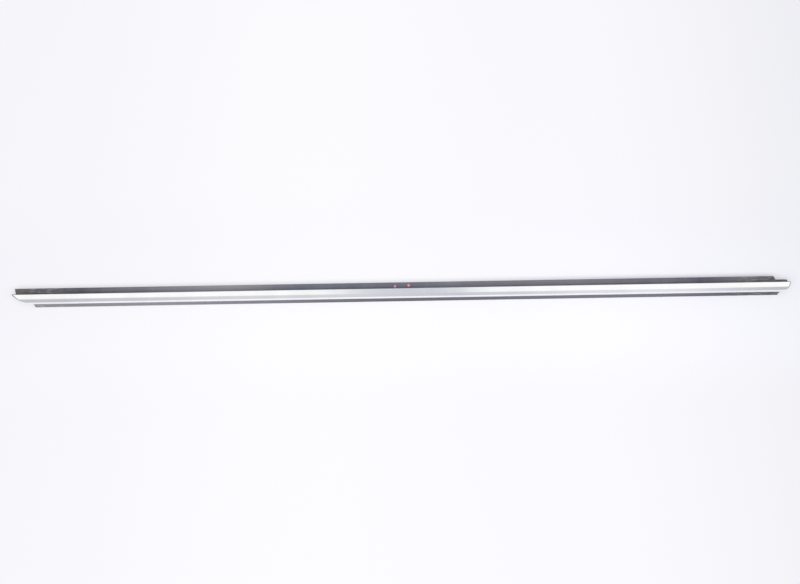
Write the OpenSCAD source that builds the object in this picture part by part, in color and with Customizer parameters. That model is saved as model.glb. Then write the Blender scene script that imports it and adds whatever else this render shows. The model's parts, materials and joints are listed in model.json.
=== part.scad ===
// Outer window belt moulding of a car door.
// It lies on its glass side: X runs along it, +Y is its lower edge on the door, +Z is its outer side.
// A section is drawn with v measured down the door from the top flange and z out from the glass side.

/* [Bright strip] */
// Length of the strip from tip to tip
strip_len = 960; // [700:10:1300]
// Height of the strip's face
face_w = 10; // [9:0.5:14]
// Thickness of the sheet metal
sheet_t = 0.5; // [0.3:0.1:0.8]
// Radius of the nearly flat lower part of the face
face_r = 22; // [16:1:60]
// Radius of the sloping shoulder
shoulder_r = 8; // [7.5:0.5:14]
// Width of the shoulder
shoulder_w = 6; // [4:0.5:7]
// Radius of the bend from the shoulder to the top flange
bend_r = 1.6; // [0.9:0.1:2]
// Width of the hook at the edge of the top flange
hook_w = 1.4; // [0.9:0.1:2]
// Set-back of the left end's cut over the height of the face
left_cut = 12.7; // [4:0.1:16]
// Radius of the strip's upper left corner
left_round = 24; // [4:1:30]
// Set-back of the right end's cut over the height of the face
right_cut = 4.3; // [3:0.1:16]
// Radius of the strip's upper right corner
right_round = 8; // [4:1:10]

/* [Carrier] */
// Length of the leg from the top of the body to its free edge
leg_len = 20.4; // [18:0.1:30]
// Thickness of the leg
leg_t = 1.8; // [1.4:0.1:3]
// Chamfer of the leg's free edge
leg_chamfer = 0.4; // [0.2:0.1:0.6]
// Height of the bare heel between the glass side and the top flange
heel_h = 1.8; // [1.4:0.1:3]
// Thickness of the web behind the top flange
web_t = 2.4; // [1.8:0.1:4]
// Clear width of the slot for the door flange
slot_w = 5.8; // [5.6:0.1:8]
// Radius of the slot's inner corners
slot_r = 0.8; // [0.3:0.1:1.5]
// Thickness of the outer wall at its lower edge
wall_t = 1.6; // [1.2:0.1:3]

/* [Retention barbs] */
// Number of barbs on the leg
barb_count = 3; // [1:1:3]
// Distance from the web to the first barb
barb_start = 2.7; // [1:0.1:3]
// Pitch of the barbs
barb_pitch = 2.7; // [2:0.1:3]
// Height of a barb
barb_h = 1; // [0.4:0.1:1.2]
// Width of a barb at its foot
barb_w = 1.6; // [1:0.1:1.8]
// Width of a barb's blunt crest
barb_crest = 0.25; // [0.1:0.05:0.4]

/* [Outer lip] */
// Thickness of the outer lip
outer_lip_t = 0.8; // [0.6:0.1:1.2]
// Width of the outer lip that shows past the strip
outer_lip_w = 1.2; // [0.6:0.1:2]
// Step of the outer lip's foot into the slot's mouth
foot_drop = 0.4; // [0.2:0.1:0.5]
// Width of the foot under the outer wall
foot_w = 2.4; // [1.5:0.1:4]

/* [Glass lips] */
// Height of the lips between the leg and the glass
lip_reach = 6; // [4:0.5:10]
// Thickness of a lip at its root
lip_root_t = 1.8; // [1.4:0.1:2.4]
// Thickness of a lip at its tip
lip_tip_t = 1.2; // [0.8:0.1:1.4]
// Distance from the top of the body to the middle of the upper lip's root
upper_root = 1.7; // [1.3:0.1:3]
// Height of the upper lip's tip above the top of the body
upper_over = 2; // [1:0.1:5]
// Distance from the leg's free edge to the middle of the lower lip's root
lower_root = 2.8; // [2:0.1:5]
// Rise of the lower lip from its root to its tip
lower_rise = 3.7; // [2:0.1:6]
// Distance from the strip's left tip to the left end of the lips
lip_left_in = 25.7; // [12:0.5:60]
// Distance from the strip's right tip to the right end of the lips
lip_right_in = 12.8; // [8:0.5:60]
// Run of the slanted cut at the left end of the lips
lip_left_slant = 1.5; // [0:0.1:6]
// Run of the slanted cut at the right end of the lips
lip_right_slant = 1.6; // [0:0.1:6]

/* [Leg ends] */
// Distance from the strip's left tip to the leg's lower corner
leg_left_in = 1.3; // [0.5:0.1:10]
// Run of the leg's slanted left end over its whole length
leg_left_skew = 5.4; // [0:0.1:8]
// Distance from the strip's right tip to the right end of the leg
leg_right_in = 2; // [0.5:0.1:10]
// Length of the notch in the leg's lower right corner
notch_len = 14.5; // [6:0.5:40]
// Depth of the notch
notch_depth = 4.8; // [1:0.1:6]
// Radius of the leg's outer corner beside the notch
corner_r = 1.6; // [0.5:0.1:2]
// Run of the notch's slanted shoulder
notch_slant = 2.1; // [1:0.1:6]

/* [Hidden] */
arc_step = 4.5;
past = 1;
lap = 0.2;

// levels above the glass side
leg_in_z = lip_reach;
leg_out_z = leg_in_z + leg_t;
flange_z = leg_in_z + heel_h;
wall_in_z = leg_out_z + slot_w;
fold_z = max(leg_out_z, flange_z);
foot_z = wall_in_z - foot_drop;
hem_z = foot_z + outer_lip_t;
face_edge_z = wall_in_z + wall_t + sheet_t;
face_c_z = face_edge_z - sqrt(pow(face_r, 2) - pow(face_w - shoulder_w, 2));
top_z = face_c_z + face_r;

// centres of the three arcs of the cover, and the angle at which the shoulder meets the bend
face_c = [shoulder_w, face_c_z];
shoulder_c = [shoulder_w, top_z - shoulder_r];
bend_gap = shoulder_r - bend_r;
bend_angle = 90 + asin((shoulder_w - bend_r) / bend_gap);
bend_c = shoulder_c + bend_gap * [cos(bend_angle), sin(bend_angle)];

// places down the door
web_v = sheet_t + web_t;
mouth_v = face_w + outer_lip_w;
first_barb_v = web_v + barb_start;
lip_tip_r = lip_tip_t / 2;
upper_tip = [lip_tip_r - upper_over, lip_tip_r];
upper_base = [upper_root, leg_in_z + lap];
lower_base = [leg_len - lower_root, leg_in_z + lap];
lower_tip = [leg_len - lower_root - lower_rise, lip_tip_r];
notch_v = leg_len - notch_depth;

// places along the moulding
left_x = -strip_len / 2;
right_x = strip_len / 2;
leg_right_x = right_x - leg_right_in;
lip_tuck = sheet_t;

// the middle of the whole section lies over the origin
mid_v = (leg_len - upper_over) / 2;

// points of an arc, without its first point when it continues another
function arc(c, r, a0, a1, first = 0) =
    let (n = ceil(abs(a1 - a0) / arc_step))
    [for (i = [first:n]) let (a = a0 + (a1 - a0) * i / n) c + r * [cos(a), sin(a)]];

// points under the cover's curve, from its lower edge over the face and shoulder to the top flange
function cover_points(inset, low_z) =
    let (edge_v = face_w - inset, edge_a = acos((edge_v - shoulder_w) / (face_r - inset)))
    concat(
        [[edge_v, low_z]],
        arc(face_c, face_r - inset, edge_a, 90),
        arc(shoulder_c, shoulder_r - inset, 90, bend_angle, 1),
        arc(bend_c, bend_r - inset, bend_angle, 180, 1),
        [[inset, low_z]]
    );

// points of a tapered lip with a round tip
function lip_points(tip, base) =
    let (d = base - tip, a = atan2(d[1], d[0]), side = [-sin(a), cos(a)] * lip_root_t / 2)
    concat([base + side], arc(tip, lip_tip_r, a + 90, a + 270), [base - side]);

// stands a section up along the moulding between two places
module along(x0, x1) {
    translate([x0, -mid_v, 0]) rotate([90, 0, 90]) linear_extrude(x1 - x0) children();
}

// upright prism over an outline drawn on the floor plan
module plan() {
    translate([0, -mid_v, -past]) linear_extrude(top_z + 2 * past) children();
}

// floor plan of the moulding between its slanted ends, with the upper corners rounded,
// set in all round by a thickness
module end_outline(inset) {
    far_v = leg_len + past;
    left_a = atan2(face_w, left_cut);
    right_a = atan2(face_w, right_cut);
    left_c = [left_x + left_cut + left_round * tan(left_a / 2), left_round];
    right_c = [right_x - right_cut - right_round * tan(right_a / 2), right_round];
    polygon(concat(
        [[left_x + left_cut * (1 - far_v / face_w) + inset / sin(left_a), far_v]],
        arc(left_c, left_round - inset, 270 - left_a, 270),
        arc(right_c, right_round - inset, 270, 270 + right_a),
        [[right_x - right_cut * (1 - far_v / face_w) - inset / sin(right_a), far_v]]
    ));
}

// floor plan of the leg, with its slanted left end and its notched right corner
module leg_outline() {
    skew = leg_left_skew / leg_len;
    polygon(concat(
        [[left_x + leg_left_in + leg_left_skew + past * skew, -past], [leg_right_x, -past]],
        arc([leg_right_x - corner_r, notch_v - corner_r], corner_r, 0, 90),
        [[leg_right_x - notch_len, notch_v]],
        [[leg_right_x - notch_len - notch_slant, leg_len]],
        [[left_x + leg_left_in, leg_len]]
    ));
}

// upright slab that a lip lies in, with both ends slanting in towards the tip
module lip_span(right_in) {
    root_left = left_x + lip_left_in;
    root_right = right_x - right_in;
    translate([0, leg_len + past, 0]) rotate([90, 0, 0]) linear_extrude(2 * leg_len) polygon([
        [root_left + lip_left_slant, 0],
        [root_right - lip_right_slant, 0],
        [root_right, leg_in_z],
        [root_right, leg_out_z],
        [root_left, leg_out_z],
        [root_left, leg_in_z]
    ]);
}

// section of the rolled sheet: face, shoulder, top flange with its hook, and turned lower edge
module strip_section() {
    difference() {
        polygon(cover_points(0, flange_z));
        polygon(cover_points(sheet_t, flange_z - past));
        translate([shoulder_w, flange_z - past]) square([face_w, hem_z - flange_z + past]);
    }
    translate([0, flange_z]) square([hook_w, sheet_t]);
}

// section of the slot, closed at the web and open downwards at its mouth
module slot_section() {
    polygon(concat(
        [[leg_len + past, leg_out_z]],
        arc([web_v + slot_r, leg_out_z + slot_r], slot_r, 270, 180),
        arc([web_v + slot_r, wall_in_z - slot_r], slot_r, 180, 90),
        [[leg_len + past, wall_in_z]]
    ));
}

// section of the web and outer wall that fill the strip, with the groove for the strip's hook
module wall_section() {
    difference() {
        polygon(cover_points(sheet_t, flange_z));
        slot_section();
        square([web_v, flange_z]);
        translate([0, flange_z]) square([hook_w, sheet_t]);
    }
}

// section of the lip that seals on the door panel, moulded under the strip's lower edge
module outer_lip_section() {
    blunt = outer_lip_t / 4;
    polygon([
        [face_w - foot_w - foot_drop, wall_in_z + lap],
        [face_w - foot_w - foot_drop, wall_in_z],
        [face_w - foot_w, foot_z],
        [mouth_v - blunt, foot_z],
        [mouth_v, foot_z + blunt],
        [mouth_v, hem_z - blunt],
        [mouth_v - blunt, hem_z],
        [face_w - sheet_t, hem_z],
        [face_w - sheet_t, wall_in_z + lap]
    ]);
}

// section of the leg and heel
module leg_section() {
    polygon([
        [0, leg_in_z],
        [leg_len - leg_chamfer, leg_in_z],
        [leg_len, leg_in_z + leg_chamfer],
        [leg_len, leg_out_z - leg_chamfer],
        [leg_len - leg_chamfer, leg_out_z],
        [web_v, leg_out_z],
        [web_v, flange_z],
        [0, flange_z]
    ]);
}

// section of one barb, steep towards the web and sloping towards the mouth
module barb_section() {
    polygon([
        [0, leg_out_z - lap],
        [0, leg_out_z],
        [barb_crest, leg_out_z + barb_h],
        [2 * barb_crest, leg_out_z + barb_h],
        [barb_w, leg_out_z],
        [barb_w, leg_out_z - lap]
    ]);
}

module bright_strip() {
    color([0.82, 0.83, 0.85]) {
        intersection() {
            along(left_x, right_x) strip_section();
            plan() end_outline(0);
        }
        // folded ends, bent down on to the leg
        difference() {
            intersection() {
                along(left_x, right_x) polygon(cover_points(0, fold_z));
                plan() end_outline(0);
            }
            plan() end_outline(sheet_t);
        }
    }
}

module seal_body() {
    color([0.16, 0.16, 0.18]) {
        // outer wall, web and outer lip, cut to fit between the strip's folded ends
        intersection() {
            along(left_x + lip_tuck, right_x - lip_tuck) {
                wall_section();
                outer_lip_section();
            }
            plan() end_outline(sheet_t);
        }
        // leg with its heel, set in under the strip's flange and folded ends
        intersection() {
            along(left_x, right_x) leg_section();
            plan() end_outline(sheet_t);
            plan() leg_outline();
        }
        // barbs that hold the door flange
        intersection() {
            along(left_x, right_x)
                for (i = [0:barb_count - 1]) translate([first_barb_v + i * barb_pitch, 0]) barb_section();
            plan() end_outline(sheet_t);
            plan() leg_outline();
        }
        // lips that wipe the glass, the lower one ending before the leg's notch
        intersection() {
            along(left_x, right_x) polygon(lip_points(upper_tip, upper_base));
            lip_span(lip_right_in);
        }
        intersection() {
            along(left_x, right_x) polygon(lip_points(lower_tip, lower_base));
            lip_span(max(lip_right_in, leg_right_in + notch_len + notch_slant));
        }
    }
}

bright_strip();
seal_body();
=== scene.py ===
# Outer window belt moulding of a car door, lying on its glass side on a pale table top.
# X runs along it, its near edge (-Y) is the top edge on the door, and +Z is its outer side.
import json
import math

import bpy
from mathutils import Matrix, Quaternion, Vector, noise

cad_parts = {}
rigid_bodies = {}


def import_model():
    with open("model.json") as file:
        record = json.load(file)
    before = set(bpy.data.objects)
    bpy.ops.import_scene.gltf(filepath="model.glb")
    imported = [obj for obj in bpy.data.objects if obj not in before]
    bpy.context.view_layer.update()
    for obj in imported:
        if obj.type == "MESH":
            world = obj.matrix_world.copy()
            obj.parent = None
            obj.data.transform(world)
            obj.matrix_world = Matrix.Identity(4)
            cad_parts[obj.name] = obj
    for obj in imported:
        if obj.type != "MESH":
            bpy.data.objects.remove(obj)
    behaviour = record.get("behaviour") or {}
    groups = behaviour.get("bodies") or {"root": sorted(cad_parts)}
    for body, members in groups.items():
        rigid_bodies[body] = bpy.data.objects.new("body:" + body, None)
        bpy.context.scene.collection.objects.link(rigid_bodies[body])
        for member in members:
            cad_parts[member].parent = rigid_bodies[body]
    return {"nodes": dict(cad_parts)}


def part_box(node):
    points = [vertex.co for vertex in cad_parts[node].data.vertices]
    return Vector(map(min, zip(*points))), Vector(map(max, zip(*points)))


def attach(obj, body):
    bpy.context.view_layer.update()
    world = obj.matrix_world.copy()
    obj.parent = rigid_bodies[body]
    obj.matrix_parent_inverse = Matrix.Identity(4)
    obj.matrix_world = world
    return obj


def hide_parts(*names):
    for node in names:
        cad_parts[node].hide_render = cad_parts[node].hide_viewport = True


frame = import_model()
bpy.ops.object.select_all(action="DESELECT")
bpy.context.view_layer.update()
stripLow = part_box("bright_strip")[0]
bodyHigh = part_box("seal_body")[1]
mm = 0.001
legFaceZ = stripLow.z  # the folded ends of the strip stand on the leg's outer face


# sRGB hex to the linear colour that the shaders take
def hexToLinear(hexColour):
    channels = [int(hexColour[i:i + 2], 16) / 255 for i in (1, 3, 5)]
    return [c / 12.92 if c <= 0.04045 else ((c + 0.055) / 1.055) ** 2.4 for c in channels] + [1.0]


# Adds a node, sets its properties and sockets, and links the sockets that are given another socket.
# A colour ramp also gets its stops, pairs of a measure and a hex colour, spread from first to last.
def addNode(tree, kind, sockets=None, stops=(), **settings):
    node = tree.nodes.new(kind)
    for name, value in settings.items():
        setattr(node, name, value)
    for socket, value in (sockets or {}).items():
        if isinstance(value, bpy.types.NodeSocket):
            tree.links.new(value, node.inputs[socket])
        else:
            node.inputs[socket].default_value = value
    if stops:
        first, last = stops[0][0], stops[-1][0]
        ramp = node.color_ramp
        ramp.interpolation = "EASE"
        ramp.elements[0].color = hexToLinear(stops[0][1])
        ramp.elements[1].color = hexToLinear(stops[-1][1])
        for measure, hexColour in stops[1:-1]:
            ramp.elements.new((measure - first) / (last - first)).color = hexToLinear(hexColour)
    return node


def newMaterial(name):
    material = bpy.data.materials.new(name)
    material.use_nodes = True
    return material, material.node_tree, material.node_tree.nodes["Principled BSDF"]


# the scale of a pattern that is drawn out along the moulding, from its real length and width
def drawnOut(lengthMm, widthMm):
    return (1 / (lengthMm * mm), 1 / (widthMm * mm), 1 / (widthMm * mm))


# Bright annealed stainless steel sheet, roll formed: a soft mirror with fine lines along it.
satinSteel = {
    "colour": "#fefefe",
    "dullColour": "#f6f6f8",  # faint cloudy handling film
    "cloudMm": 45,
    "filmNoise": (0.42, 0.7),  # levels of the cloud noise with no film and with all of it
    "roughness": (0.06, 0.13),
    "rollLineMm": 0.35,  # coarser than the real lines, which are too fine to show
    "rollLineLengthMm": 90,
    "lineNoise": (0.3, 0.7),  # levels of the line noise for the two roughnesses
    "bumpMm": 0.004,
}


def makeSatinSteel():
    s = satinSteel
    material, tree, shader = newMaterial("rollFormedStainless")
    place = addNode(tree, "ShaderNodeTexCoord").outputs["Object"]
    lines = addNode(tree, "ShaderNodeMapping", {
        "Vector": place, "Scale": drawnOut(s["rollLineLengthMm"], s["rollLineMm"]),
    })
    lineNoise = addNode(tree, "ShaderNodeTexNoise", {
        "Vector": lines.outputs[0], "Scale": 1.0, "Detail": 3.0,
    })
    clouds = addNode(tree, "ShaderNodeTexNoise", {
        "Vector": place, "Scale": 1 / (s["cloudMm"] * mm), "Detail": 4.0, "Roughness": 0.6,
    })
    film = addNode(tree, "ShaderNodeMapRange", {
        "Value": clouds.outputs["Fac"],
        "From Min": s["filmNoise"][0], "From Max": s["filmNoise"][1],
    })
    colour = addNode(tree, "ShaderNodeMix", {
        0: film.outputs[0], 6: hexToLinear(s["colour"]), 7: hexToLinear(s["dullColour"]),
    }, data_type="RGBA")
    gloss = addNode(tree, "ShaderNodeMapRange", {
        "Value": lineNoise.outputs["Fac"],
        "From Min": s["lineNoise"][0], "From Max": s["lineNoise"][1],
        "To Min": s["roughness"][0], "To Max": s["roughness"][1],
    })
    bump = addNode(tree, "ShaderNodeBump", {
        "Height": lineNoise.outputs["Fac"], "Distance": s["bumpMm"] * mm,
    })
    shader.inputs["Metallic"].default_value = 1.0
    tree.links.new(colour.outputs[2], shader.inputs["Base Color"])
    tree.links.new(gloss.outputs[0], shader.inputs["Roughness"])
    tree.links.new(bump.outputs[0], shader.inputs["Normal"])
    return material


# Black thermoplastic rubber, extruded: matt, with die lines along it and a grey dusty bloom.
# The lips are softer and paler, and their glass side carries short flock.
sealRubber = {
    # mm along the moulding, and the tone there, paler in places and darker in others along it
    "legTones": (
        (-476, "#62605e"), (-430, "#504f56"), (-215, "#8d8c91"), (-120, "#656876"),
        (230, "#73727a"), (365, "#555461"), (418, "#69676d"), (450, "#42414b"),
    ),
    "lipTones": (
        (-450, "#7f7e83"), (-310, "#86858b"), (0, "#605f68"), (300, "#6e6d76"), (450, "#52515b"),
    ),
    "lipHeights": (5.8, 6.4),  # mm over the table: lips below the first, leg above the second
    "legBloomColour": "#8d8c92",
    "bloomMm": 38,
    "bloomNoise": (0.4, 0.75),  # levels of the bloom noise with no bloom and with the most
    "bloomMost": 0.45,
    "legUpperY": 4,  # mm across the moulding, where the leg comes out from under the strip
    "legUpperShade": 1.14,  # painted light against the strip's shadow: lighter there than at its free edge by this
    "dustColour": "#b0ada8",  # streaks of dust towards both ends
    "dustMm": 1.3,
    "dustLengthMm": 9,
    "dustStart": (392, 430),  # mm from the middle, where it starts and where it is full
    "dustNoise": (0.5, 0.72),
    "dustMost": 0.7,
    "dieLineMm": 0.45,
    "dieLineLengthMm": 160,
    "lineNoise": (0.3, 0.7),  # levels of the line noise, and the shades of the rubber there
    "lineShades": (0.82, 1.15),
    "grainMm": 0.25,
    "roughness": 0.58,
    "bumpMm": 0.02,
    "flockColour": "#2e2e33",
    "flockMm": 0.35,  # coarser than real fibres, which are too fine to show
    "flockRelief": 12.0,
    "flockRoughness": 0.95,
    "flockFacing": (-0.3, -0.15),  # upward part of the normal, flocked below the first
}


def makeSealRubber():
    s = sealRubber
    material, tree, shader = newMaterial("extrudedSealRubber")
    place = addNode(tree, "ShaderNodeTexCoord").outputs["Object"]
    axes = addNode(tree, "ShaderNodeSeparateXYZ", {0: place})
    isLip = addNode(tree, "ShaderNodeMapRange", {
        "Value": axes.outputs["Z"],
        "From Min": s["lipHeights"][0] * mm, "From Max": s["lipHeights"][1] * mm,
        "To Min": 1.0, "To Max": 0.0,
    })
    along = addNode(tree, "ShaderNodeMath", {
        0: axes.outputs["X"], 1: 1 / mm,
    }, operation="MULTIPLY").outputs[0]
    bodyTones = []
    for stops in (s["legTones"], s["lipTones"]):
        share = addNode(tree, "ShaderNodeMapRange", {
            "Value": along, "From Min": stops[0][0], "From Max": stops[-1][0],
        })
        tone = addNode(tree, "ShaderNodeValToRGB", {0: share.outputs[0]}, stops)
        bodyTones.append(tone.outputs[0])
    legBody, lipBody = bodyTones
    bloomNoise = addNode(tree, "ShaderNodeTexNoise", {
        "Vector": place, "Scale": 1 / (s["bloomMm"] * mm), "Detail": 6.0, "Roughness": 0.7,
    })
    cloudy = addNode(tree, "ShaderNodeMapRange", {
        "Value": bloomNoise.outputs["Fac"],
        "From Min": s["bloomNoise"][0], "From Max": s["bloomNoise"][1],
        "To Min": 0.0, "To Max": s["bloomMost"],
    })
    lines = addNode(tree, "ShaderNodeMapping", {
        "Vector": place, "Scale": drawnOut(s["dieLineLengthMm"], s["dieLineMm"]),
    })
    dieLines = addNode(tree, "ShaderNodeTexNoise", {
        "Vector": lines.outputs[0], "Scale": 1.0, "Detail": 2.0,
    })
    grain = addNode(tree, "ShaderNodeTexNoise", {
        "Vector": place, "Scale": 1 / (s["grainMm"] * mm), "Detail": 2.0,
    })
    bloomedLeg = addNode(tree, "ShaderNodeMix", {
        0: cloudy.outputs[0], 6: legBody, 7: hexToLinear(s["legBloomColour"]),
    }, data_type="RGBA")
    # painted light: the leg is lifted next to the strip, where the strip's shadow falls on it
    legShade = addNode(tree, "ShaderNodeMapRange", {
        "Value": axes.outputs["Y"], "From Min": s["legUpperY"] * mm, "From Max": bodyHigh.y,
        "To Min": s["legUpperShade"], "To Max": 1.0,
    })
    legWithPaintedLight = addNode(tree, "ShaderNodeVectorMath", {
        0: bloomedLeg.outputs[2], "Scale": legShade.outputs[0],
    }, operation="SCALE")
    dusty = addNode(tree, "ShaderNodeMix", {
        0: isLip.outputs[0], 6: legWithPaintedLight.outputs[0], 7: lipBody,
    }, data_type="RGBA")
    fromMiddle = addNode(tree, "ShaderNodeMath", {0: along}, operation="ABSOLUTE")
    atEnd = addNode(tree, "ShaderNodeMapRange", {
        "Value": fromMiddle.outputs[0],
        "From Min": s["dustStart"][0], "From Max": s["dustStart"][1],
    }, interpolation_type="SMOOTHSTEP")
    streakPlace = addNode(tree, "ShaderNodeMapping", {
        "Vector": place, "Scale": drawnOut(s["dustLengthMm"], s["dustMm"]),
    })
    streaks = addNode(tree, "ShaderNodeTexNoise", {
        "Vector": streakPlace.outputs[0], "Scale": 1.0, "Detail": 5.0,
    })
    streakShare = addNode(tree, "ShaderNodeMapRange", {
        "Value": streaks.outputs["Fac"],
        "From Min": s["dustNoise"][0], "From Max": s["dustNoise"][1],
        "To Min": 0.0, "To Max": s["dustMost"],
    })
    dustShare = addNode(tree, "ShaderNodeMath", {
        0: streakShare.outputs[0], 1: atEnd.outputs[0],
    }, operation="MULTIPLY")
    streaked = addNode(tree, "ShaderNodeMix", {
        0: dustShare.outputs[0], 6: dusty.outputs[2], 7: hexToLinear(s["dustColour"]),
    }, data_type="RGBA")
    lineShade = addNode(tree, "ShaderNodeMapRange", {
        "Value": dieLines.outputs["Fac"],
        "From Min": s["lineNoise"][0], "From Max": s["lineNoise"][1],
        "To Min": s["lineShades"][0], "To Max": s["lineShades"][1],
    })
    lined = addNode(tree, "ShaderNodeVectorMath", {
        0: streaked.outputs[2], "Scale": lineShade.outputs[0],
    }, operation="SCALE")
    relief = addNode(tree, "ShaderNodeMath", {
        0: dieLines.outputs["Fac"], 1: grain.outputs["Fac"],
    }, operation="ADD")
    facing = addNode(tree, "ShaderNodeNewGeometry").outputs["True Normal"]
    facingAxes = addNode(tree, "ShaderNodeSeparateXYZ", {0: facing})
    glassSide = addNode(tree, "ShaderNodeMapRange", {
        "Value": facingAxes.outputs["Z"],
        "From Min": s["flockFacing"][0], "From Max": s["flockFacing"][1],
        "To Min": 1.0, "To Max": 0.0,
    })
    flocked = addNode(tree, "ShaderNodeMath", {
        0: glassSide.outputs[0], 1: isLip.outputs[0],
    }, operation="MULTIPLY")
    fibres = addNode(tree, "ShaderNodeTexNoise", {
        "Vector": place, "Scale": 1 / (s["flockMm"] * mm), "Detail": 4.0,
    })
    pile = addNode(tree, "ShaderNodeMath", {
        0: fibres.outputs["Fac"], 1: s["flockRelief"],
    }, operation="MULTIPLY")
    height = addNode(tree, "ShaderNodeMix", {
        0: flocked.outputs[0], 2: relief.outputs[0], 3: pile.outputs[0],
    })
    colour = addNode(tree, "ShaderNodeMix", {
        0: flocked.outputs[0], 6: lined.outputs[0], 7: hexToLinear(s["flockColour"]),
    }, data_type="RGBA")
    dullness = addNode(tree, "ShaderNodeMapRange", {
        "Value": flocked.outputs[0], "To Min": s["roughness"], "To Max": s["flockRoughness"],
    })
    bump = addNode(tree, "ShaderNodeBump", {
        "Height": height.outputs[0], "Distance": s["bumpMm"] * mm,
    })
    tree.links.new(dullness.outputs[0], shader.inputs["Roughness"])
    tree.links.new(colour.outputs[2], shader.inputs["Base Color"])
    tree.links.new(bump.outputs[0], shader.inputs["Normal"])
    return material


# copies a CAD node as a clean mesh: one skin, its flat faces whole, at its own place
def copyNode(nodeName, pieceName, mergeWithin=0.002 * mm, flatDegrees=0.3):
    source = frame["nodes"][nodeName]
    bpy.ops.object.select_all(action="DESELECT")
    source.select_set(True)
    bpy.context.view_layer.objects.active = source
    bpy.ops.object.duplicate()
    piece = bpy.context.object
    piece.name = pieceName
    piece.parent = None
    piece.data.materials.clear()
    bpy.ops.object.mode_set(mode="EDIT")
    bpy.ops.mesh.select_all(action="SELECT")
    bpy.ops.mesh.remove_doubles(threshold=mergeWithin)
    bpy.ops.mesh.dissolve_limited(angle_limit=math.radians(flatDegrees))
    bpy.ops.mesh.select_all(action="DESELECT")
    bpy.ops.object.mode_set(mode="OBJECT")
    return piece


# the normals of the faces on both sides of each edge, by the edge's key
def normalsByEdge(mesh):
    normals = {}
    for polygon in mesh.polygons:
        for key in polygon.edge_keys:
            normals.setdefault(key, []).append(polygon.normal.copy())
    return normals


# Breaks the sharp edges that have room for it, and shades the piece smooth across its gentle bends.
# An edge has room where all edges at its two ends are longer than the break by the room factor.
def finishEdges(piece, width, segments, sharpAngle, roomFactor=1.2):
    mesh = piece.data
    normals = normalsByEdge(mesh)
    shortest = {}
    for edge in mesh.edges:
        start, end = [mesh.vertices[v].co for v in edge.vertices]
        for v in edge.vertices:
            shortest[v] = min((end - start).length, shortest.get(v, 1.0))
    weights = mesh.attributes.new("bevel_weight_edge", "FLOAT", "EDGE")
    broken = 0
    for edge in mesh.edges:
        sides = normals[edge.key]
        isSharp = len(sides) == 2 and sides[0].angle(sides[1]) > math.radians(sharpAngle)
        if isSharp and min(shortest[v] for v in edge.vertices) > roomFactor * width:
            weights.data[edge.index].value = 1.0
            broken += 1
    bevel = piece.modifiers.new("brokenEdges", "BEVEL")
    bevel.width = width
    bevel.segments = segments
    bevel.limit_method = "WEIGHT"
    bevel.use_clamp_overlap = True
    bpy.context.view_layer.objects.active = piece
    piece.select_set(True)
    bpy.ops.object.modifier_apply(modifier=bevel.name)
    mesh.attributes.remove(mesh.attributes["bevel_weight_edge"])
    bpy.ops.object.shade_smooth_by_angle(angle=math.radians(sharpAngle))
    weighted = piece.modifiers.new("broadFacesLead", "WEIGHTED_NORMAL")
    weighted.keep_sharp = True
    bpy.ops.object.modifier_apply(modifier=weighted.name)
    piece.select_set(False)
    print(piece.name, "broken edges:", broken)


brightStrip = {
    "foldRadius": 1.5 * mm,
    "foldSteps": 7,
    "foldAbove": 4 * mm,  # over the leg's face, so that only the outer corners are rounded
    "edge": 0.12 * mm,
    "edgeSegments": 2,
    "sharpAngle": 28,
}


# Rounds the fold at both ends, where the end walls turn down from the outer skin, by slicing
# planes off its corner that all touch a round of that radius.
def roundEndFolds(piece, radius, steps, above):
    level, endwards, upwards = 0.01, 0.02, 0.05  # parts of a unit normal
    mesh = piece.data
    normals = normalsByEdge(mesh)
    planes = []
    for edge in mesh.edges:
        ends = [mesh.vertices[v].co for v in edge.vertices]
        walls = [n for n in normals[edge.key] if abs(n.z) < level and abs(n.x) > endwards]
        skins = [n for n in normals[edge.key] if abs(n.x) < level and n.z > upwards]
        if walls and skins and min(end.z for end in ends) > legFaceZ + above:
            wall, skin = walls[0], skins[0]
            centre = (ends[0] + ends[1]) / 2 - radius * (wall + skin) / (1 + wall.dot(skin))
            for step in range(1, steps):
                towards = wall.slerp(skin, step / steps)
                planes.append((centre + towards * radius, towards))
    bpy.context.view_layer.objects.active = piece
    bpy.ops.object.mode_set(mode="EDIT")
    cutWithin, mergeWithin, flatDegrees = 0.0005 * mm, 0.004 * mm, 0.5
    for place, towards in planes:
        bpy.ops.mesh.select_all(action="SELECT")
        bpy.ops.mesh.bisect(
            plane_co=place, plane_no=towards, use_fill=True, clear_outer=True, threshold=cutWithin,
        )
    bpy.ops.mesh.select_all(action="SELECT")
    bpy.ops.mesh.remove_doubles(threshold=mergeWithin)
    bpy.ops.mesh.dissolve_limited(angle_limit=math.radians(flatDegrees))
    bpy.ops.mesh.select_all(action="DESELECT")
    bpy.ops.object.mode_set(mode="OBJECT")
    print("end folds:", len(planes), "cuts")


def makeBrightStrip(steel):
    s = brightStrip
    piece = copyNode("bright_strip", "brightStrip")
    roundEndFolds(piece, s["foldRadius"], s["foldSteps"], s["foldAbove"])
    finishEdges(piece, s["edge"], s["edgeSegments"], s["sharpAngle"])
    piece.data.materials.append(steel)
    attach(piece, "root")
    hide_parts("bright_strip")
    print("bright strip:", len(piece.data.polygons), "faces")


sealBody = {"edge": 0.15 * mm, "edgeSegments": 2, "sharpAngle": 32}


def makeSealBody(rubber):
    s = sealBody
    piece = copyNode("seal_body", "sealBody")
    finishEdges(piece, s["edge"], s["edgeSegments"], s["sharpAngle"])
    piece.data.materials.append(rubber)
    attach(piece, "root")
    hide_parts("seal_body")
    print("seal body:", len(piece.data.polygons), "faces")
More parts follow.
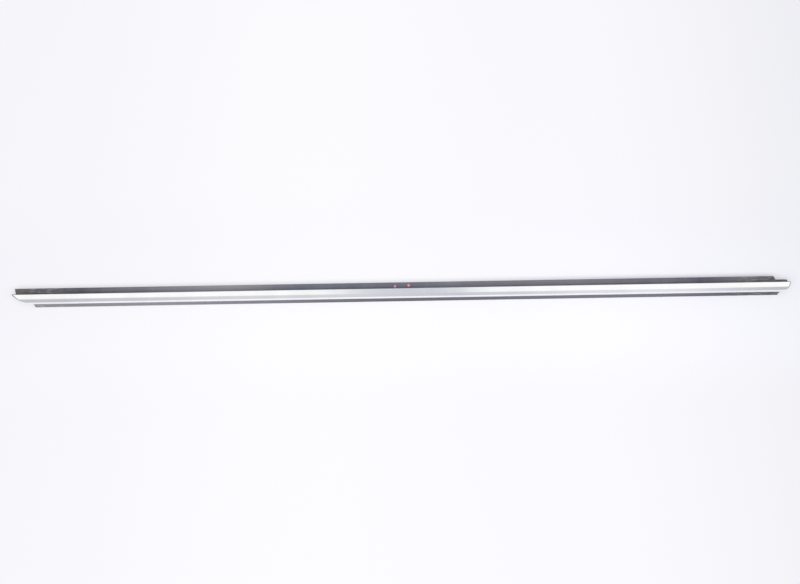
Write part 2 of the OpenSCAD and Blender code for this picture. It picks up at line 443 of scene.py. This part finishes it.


# Quality check dots: two dabs of red paint on the leg, thick, their pale middle a painted highlight
# of gloss.
paintDots = {
    "places": ((-7.4, 5.9), (9.3, 7.0)),  # mm along the moulding and across it
    "radii": (2.2, 2.3),
    "sides": 32,
    "thick": 0.12,
    "rimShare": 1 / 3,  # of the thickness, where the side wall ends and the dome starts
    "steps": ((0.25, 0.34), (0.3, 0.22), (0.25, 0.1)),  # shares of radius inwards, of thickness up
    "wobble": 0.22,  # share of the radius, so that no dab is quite round
    "wobbleScale": 1.4,
    "wobbleApart": 7.0,  # how far apart in the noise the two dabs lie
    "sharpAngle": 60,
    "rimColour": "#a33d49",
    # painted highlight: the pale middle of each dab stands for the gloss on its dome
    "paintedHighlightColour": "#dbb4c1",
    "rimFrom": 0.5,  # shares of the radius, where the middle ends and where the rim is full
    "rimTo": 0.85,
    "roughness": 0.35,
}


def makeDotPaint():
    s = paintDots
    material, tree, shader = newMaterial("redCheckPaint")
    rim = addNode(tree, "ShaderNodeAttribute", attribute_name="rim").outputs["Fac"]
    edge = addNode(tree, "ShaderNodeMapRange", {
        "Value": rim, "From Min": s["rimFrom"], "From Max": s["rimTo"],
    })
    colour = addNode(tree, "ShaderNodeMix", {
        0: edge.outputs[0], 6: hexToLinear(s["paintedHighlightColour"]), 7: hexToLinear(s["rimColour"]),
    }, data_type="RGBA")
    shader.inputs["Roughness"].default_value = s["roughness"]
    tree.links.new(colour.outputs[2], shader.inputs["Base Color"])
    return material


def makePaintDots(paint):
    s = paintDots
    thick = s["thick"] * mm
    for number, ((x, y), radius) in enumerate(zip(s["places"], s["radii"])):
        centre = Vector((x * mm, y * mm, legFaceZ))
        bpy.ops.mesh.primitive_circle_add(
            vertices=s["sides"], radius=radius * mm, fill_type="NGON", location=centre,
        )
        dot = bpy.context.object
        dot.name = "paintDot" + "AB"[number]
        bpy.ops.object.transform_apply(location=True, rotation=True, scale=True)
        bpy.ops.object.mode_set(mode="EDIT")
        bpy.ops.mesh.select_all(action="SELECT")
        wallHeight = thick * s["rimShare"]
        bpy.ops.mesh.extrude_region_move(TRANSFORM_OT_translate={"value": (0, 0, wallHeight)})
        for share, rise in s["steps"]:
            bpy.ops.mesh.inset(thickness=radius * share * mm, depth=thick * rise)
        bpy.ops.mesh.select_all(action="SELECT")
        bpy.ops.mesh.normals_make_consistent(inside=False)
        bpy.ops.object.mode_set(mode="OBJECT")
        mesh = dot.data
        rim = mesh.attributes.new("rim", "FLOAT", "POINT")
        for vertex in mesh.vertices:
            out = Vector((vertex.co.x - centre.x, vertex.co.y - centre.y, 0))
            rim.data[vertex.index].value = out.length / (radius * mm)
            spot = out.normalized() * s["wobbleScale"]
            spot.z = number * s["wobbleApart"]
            vertex.co += out * noise.noise(spot) * s["wobble"]
        bpy.ops.object.shade_smooth_by_angle(angle=math.radians(s["sharpAngle"]))
        mesh.materials.append(paint)
        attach(dot, "root")
        dot.select_set(False)
    print("paint dots:", len(s["places"]))


# Pale matt table top, with a faint cool tint. The camera and the polished metal see it mostly in
# its plain colour, and the rest of it takes the moulding's shadow.
table = {
    # metres along the moulding, and the tone there: lightest near the middle and a shade greyer
    # towards the ends, most at the right end, a painted falloff of the light
    "tones": (
        (-0.6, "#f6f6fb"), (-0.1, "#fcfbfe"), (0.2, "#faf9fe"), (0.7, "#ebecf1"),
    ),
    "plainShares": (0.58, 0.28),  # less plain and more shaded towards the right end
    "plainFrom": 0.0,  # metres along the moulding
    "plainTo": 0.34,
    "plainAway": 0.94,  # away from the moulding, to both sides
    "awayFrom": 0.035,  # metres across it
    "awayTo": 0.15,
    "size": 8.0,
    "roughness": 0.9,
    "specular": 0.1,
}


def makeTable():
    s = table
    bpy.ops.mesh.primitive_plane_add(size=s["size"], location=(0, 0, 0))
    top = bpy.context.object
    top.name = "tableTop"
    material, tree, shader = newMaterial("paleTableTop")
    shader.inputs["Roughness"].default_value = s["roughness"]
    shader.inputs["Specular IOR Level"].default_value = s["specular"]
    place = addNode(tree, "ShaderNodeTexCoord").outputs["Object"]
    axes = addNode(tree, "ShaderNodeSeparateXYZ", {0: place})
    alongShare = addNode(tree, "ShaderNodeMapRange", {
        "Value": axes.outputs["X"], "From Min": s["tones"][0][0], "From Max": s["tones"][-1][0],
    })
    tone = addNode(tree, "ShaderNodeValToRGB", {0: alongShare.outputs[0]}, s["tones"]).outputs[0]
    tree.links.new(tone, shader.inputs["Base Color"])
    path = addNode(tree, "ShaderNodeLightPath")
    cameraOrGlossy = addNode(tree, "ShaderNodeMath", {
        0: path.outputs["Is Camera Ray"], 1: path.outputs["Is Glossy Ray"],
    }, operation="MAXIMUM")
    seen = addNode(tree, "ShaderNodeMath", {
        0: cameraOrGlossy.outputs[0], 1: path.outputs["Is Transmission Ray"],
    }, operation="MAXIMUM")
    plainShare = addNode(tree, "ShaderNodeMapRange", {
        "Value": axes.outputs["X"], "From Min": s["plainFrom"], "From Max": s["plainTo"],
        "To Min": s["plainShares"][0], "To Max": s["plainShares"][1],
    }, interpolation_type="SMOOTHSTEP")
    across = addNode(tree, "ShaderNodeMath", {0: axes.outputs["Y"]}, operation="ABSOLUTE")
    away = addNode(tree, "ShaderNodeMapRange", {
        "Value": across.outputs[0], "From Min": s["awayFrom"], "From Max": s["awayTo"],
    }, interpolation_type="SMOOTHSTEP")
    evenShare = addNode(tree, "ShaderNodeMix", {
        0: away.outputs[0], 2: plainShare.outputs[0], 3: s["plainAway"],
    })
    plain = addNode(tree, "ShaderNodeMath", {
        0: seen.outputs[0], 1: evenShare.outputs[0],
    }, operation="MULTIPLY")
    # the plain colour carries the tones' painted falloff of the light
    plainColour = addNode(tree, "ShaderNodeEmission", {"Color": tone, "Strength": 1.0})
    surface = addNode(tree, "ShaderNodeMixShader", {
        0: plain.outputs[0], 1: shader.outputs[0], 2: plainColour.outputs[0],
    })
    tree.links.new(surface.outputs[0], tree.nodes["Material Output"].inputs["Surface"])
    top.data.materials.append(material)
    top.select_set(False)
    print("table top:", s["size"], "m square")


# Plain soft studio light: an even dome and one broad lamp high on the near side.
# Polished metal sees a bright ceiling that darkens towards the near wall and the side walls of
# the room, and a narrow grey beam that crosses the ceiling above the middle of the moulding.
light = {
    "domeLevel": 0.38,
    "domeColour": "#f8f8ff",
    "backdropColour": "#f8f8fc",
    "ceiling": "#ffffff",
    # sideways part of the direction, and the near wall's tone there
    "nearWall": (
        (-0.33, "#c5c6cb"), (-0.1, "#d8d9de"), (0.03, "#cbcdd6"),
        (0.24, "#e5e6ed"), (0.34, "#b8b9c1"),
    ),
    "nearWallFrom": 0.11,  # part of the direction towards the near side
    "nearWallTo": 0.48,
    "nearWallTilt": 0.28,  # the wall's top edge starts later towards the right
    "nearWallStep": 0.15,  # and comes up again at the far right
    "stepFrom": 0.25,  # sideways parts of the direction, from here on
    "stepTo": 0.31,
    "sideWall": "#6e6f74",
    "sideWallFrom": 0.42,
    "sideWallTo": 0.6,
    "beamMiddle": 0.003,
    "beamCore": 0.03,  # half widths of the beam, full grey and outer edge
    "beamEdge": 0.078,
    "lampPower": 30.0,  # watts
    "lampSize": (2.4, 1.2),  # metres
    "lampPlace": (0.1, -0.8, 1.45),
}


def makeLight():
    s = light
    world = bpy.data.worlds.new("studio")
    world.use_nodes = True
    bpy.context.scene.world = world
    tree = world.node_tree
    path = addNode(tree, "ShaderNodeLightPath")
    direction = addNode(tree, "ShaderNodeTexCoord").outputs["Generated"]
    axes = addNode(tree, "ShaderNodeSeparateXYZ", {0: direction})
    towardsNear = addNode(tree, "ShaderNodeMath", {
        0: axes.outputs["Y"], 1: -1.0,
    }, operation="MULTIPLY")
    tilt = addNode(tree, "ShaderNodeMath", {
        0: axes.outputs["X"], 1: -s["nearWallTilt"],
    }, operation="MULTIPLY")
    tiltedNear = addNode(tree, "ShaderNodeMath", {
        0: towardsNear.outputs[0], 1: tilt.outputs[0],
    }, operation="ADD")
    step = addNode(tree, "ShaderNodeMapRange", {
        "Value": axes.outputs["X"], "From Min": s["stepFrom"], "From Max": s["stepTo"],
        "To Min": 0.0, "To Max": s["nearWallStep"],
    }, interpolation_type="SMOOTHSTEP")
    steppedNear = addNode(tree, "ShaderNodeMath", {
        0: tiltedNear.outputs[0], 1: step.outputs[0],
    }, operation="ADD")
    wallShare = addNode(tree, "ShaderNodeMapRange", {
        "Value": steppedNear.outputs[0],
        "From Min": s["nearWallFrom"], "From Max": s["nearWallTo"],
    }, interpolation_type="SMOOTHSTEP")
    sideways = addNode(tree, "ShaderNodeMath", {0: axes.outputs["X"]}, operation="ABSOLUTE")
    fromBeam = addNode(tree, "ShaderNodeMath", {
        0: axes.outputs["X"], 1: s["beamMiddle"],
    }, operation="SUBTRACT")
    beamAway = addNode(tree, "ShaderNodeMath", {0: fromBeam.outputs[0]}, operation="ABSOLUTE")
    beamShare = addNode(tree, "ShaderNodeMapRange", {
        "Value": beamAway.outputs[0], "From Min": s["beamCore"], "From Max": s["beamEdge"],
        "To Min": 1.0, "To Max": 0.0,
    }, interpolation_type="SMOOTHSTEP")
    greyShare = addNode(tree, "ShaderNodeMath", {
        0: wallShare.outputs[0], 1: beamShare.outputs[0],
    }, operation="MAXIMUM")
    sideShare = addNode(tree, "ShaderNodeMapRange", {
        "Value": sideways.outputs[0],
        "From Min": s["sideWallFrom"], "From Max": s["sideWallTo"],
    }, interpolation_type="SMOOTHSTEP")
    alongWall = addNode(tree, "ShaderNodeMapRange", {
        "Value": axes.outputs["X"],
        "From Min": s["nearWall"][0][0], "From Max": s["nearWall"][-1][0],
    })
    wall = addNode(tree, "ShaderNodeValToRGB", {0: alongWall.outputs[0]}, s["nearWall"])
    ceiling = addNode(tree, "ShaderNodeMix", {
        0: greyShare.outputs[0], 6: hexToLinear(s["ceiling"]), 7: wall.outputs[0],
    }, data_type="RGBA")
    room = addNode(tree, "ShaderNodeMix", {
        0: sideShare.outputs[0], 6: ceiling.outputs[2], 7: hexToLinear(s["sideWall"]),
    }, data_type="RGBA")
    mirrorSees = addNode(tree, "ShaderNodeBackground", {
        "Color": room.outputs[2], "Strength": 1.0,
    })
    dome = addNode(tree, "ShaderNodeBackground", {
        "Color": hexToLinear(s["domeColour"]), "Strength": s["domeLevel"],
    })
    backdrop = addNode(tree, "ShaderNodeBackground", {
        "Color": hexToLinear(s["backdropColour"]), "Strength": 1.0,
    })
    lit = addNode(tree, "ShaderNodeMixShader", {
        0: path.outputs["Is Glossy Ray"], 1: dome.outputs[0], 2: mirrorSees.outputs[0],
    })
    straight = addNode(tree, "ShaderNodeMath", {
        0: path.outputs["Is Camera Ray"], 1: path.outputs["Is Transmission Ray"],
    }, operation="MAXIMUM")
    seen = addNode(tree, "ShaderNodeMixShader", {
        0: straight.outputs[0], 1: lit.outputs[0], 2: backdrop.outputs[0],
    })
    tree.links.new(seen.outputs[0], tree.nodes["World Output"].inputs["Surface"])

    bpy.ops.object.light_add(type="AREA", location=s["lampPlace"])
    lamp = bpy.context.object
    lamp.name = "softBox"
    lamp.data.shape = "RECTANGLE"
    lamp.data.size, lamp.data.size_y = s["lampSize"]
    lamp.data.energy = s["lampPower"]
    lamp.rotation_euler = (-Vector(s["lampPlace"])).to_track_quat("-Z", "Y").to_euler()
    lamp.visible_glossy = False
    lamp.select_set(False)
    print("light and world are set")


# the photograph's view, from the near side and nearly overhead
view = {
    "lens": 50,  # mm, as the sensor's width
    "sensor": 36,
    "elevation": 73,  # degrees over the table top
    "distance": 1.3697,  # metres from the point it looks at
    "lookAt": (-0.0015, -0.0024, 0.011),
    "roll": 0.97,  # degrees, the right end shows higher
}


def makeCamera():
    s = view
    bpy.ops.object.camera_add()
    camera = bpy.context.object
    camera.data.lens = s["lens"]
    camera.data.sensor_width = s["sensor"]
    elevation = math.radians(s["elevation"])
    back = Vector((0, -math.cos(elevation), math.sin(elevation)))
    camera.rotation_mode = "QUATERNION"
    camera.location = Vector(s["lookAt"]) + back * s["distance"]
    camera.rotation_quaternion = (-back).to_track_quat("-Z", "Y")
    camera.rotation_quaternion.rotate(Quaternion(back, -math.radians(s["roll"])))
    bpy.context.scene.camera = camera
    print("camera:", s["elevation"], "degrees up,", s["distance"], "m away")


makeCamera()
makeBrightStrip(makeSatinSteel())
makeSealBody(makeSealRubber())
makePaintDots(makeDotPaint())
makeTable()
makeLight()
bpy.context.scene.view_settings.view_transform = "Standard"
